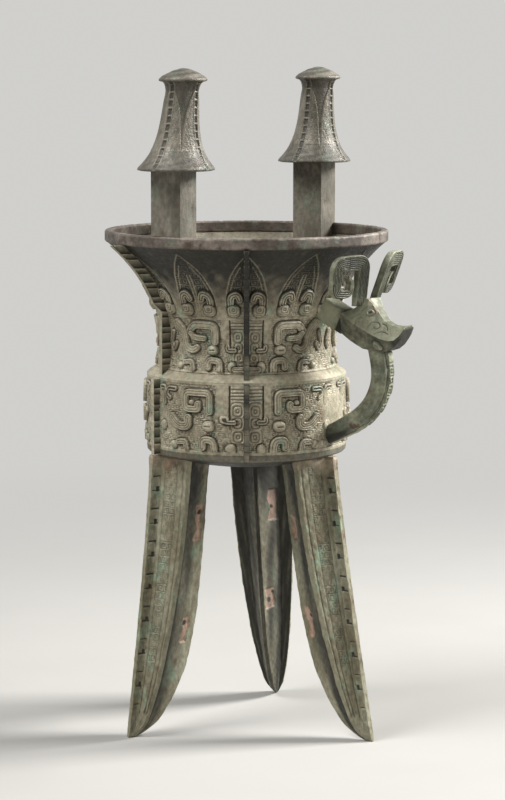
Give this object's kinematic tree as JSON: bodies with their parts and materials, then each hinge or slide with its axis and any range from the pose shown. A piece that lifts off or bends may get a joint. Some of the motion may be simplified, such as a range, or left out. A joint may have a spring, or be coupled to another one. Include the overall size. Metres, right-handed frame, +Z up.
{
  "type": "bronze jia vessel",
  "caption": "Tall wine-warming vessel with a flared neck and drum belly on blade legs, capped rim posts, vertical flanges and an animal-headed loop handle.",
  "frame": {"origin": "on the floor, under the middle of the whole object's box", "axes": "+Z up from the feet to the post caps, +X towards the handle, +Y across, through the two rim posts"},
  "size_m": [0.2738, 0.2604, 0.5333],
  "materials": {
    "bronze_body": "cast bronze with a grey-green and tan patina",
    "bronze_rim": "cast bronze with a pinkish brown patina",
    "bronze_post": "smooth cast bronze with a dark patina",
    "bronze_leg": "cast bronze with a grey-green patina",
    "bronze_handle": "cast bronze with a green-grey patina, rusty in places",
    "clay_core": "fired casting clay"
  },
  "bodies": {
    "root": {"floor_plate": "bronze_body", "belly_wall": "bronze_body", "neck_wall": "bronze_body", "rim_collar": "bronze_rim", "neck_flange_1": "bronze_body", "neck_flange_2": "bronze_body", "neck_flange_3": "bronze_body", "neck_flange_4": "bronze_body", "neck_flange_5": "bronze_body", "belly_flange_1": "bronze_body", "belly_flange_2": "bronze_body", "belly_flange_3": "bronze_body", "belly_flange_4": "bronze_body", "belly_flange_5": "bronze_body", "post_1": "bronze_post", "post_2": "bronze_post", "post_cap_1": "bronze_post", "post_cap_2": "bronze_post", "leg_1": "bronze_leg", "leg_2": "bronze_leg", "leg_3": "bronze_leg", "leg_core_1": "clay_core", "leg_core_2": "clay_core", "leg_core_3": "clay_core", "handle_arm": "bronze_handle", "handle_strap": "bronze_handle", "animal_head": "bronze_handle", "horn_left": "bronze_handle", "horn_right": "bronze_handle"}
  },
  "joints": []
}
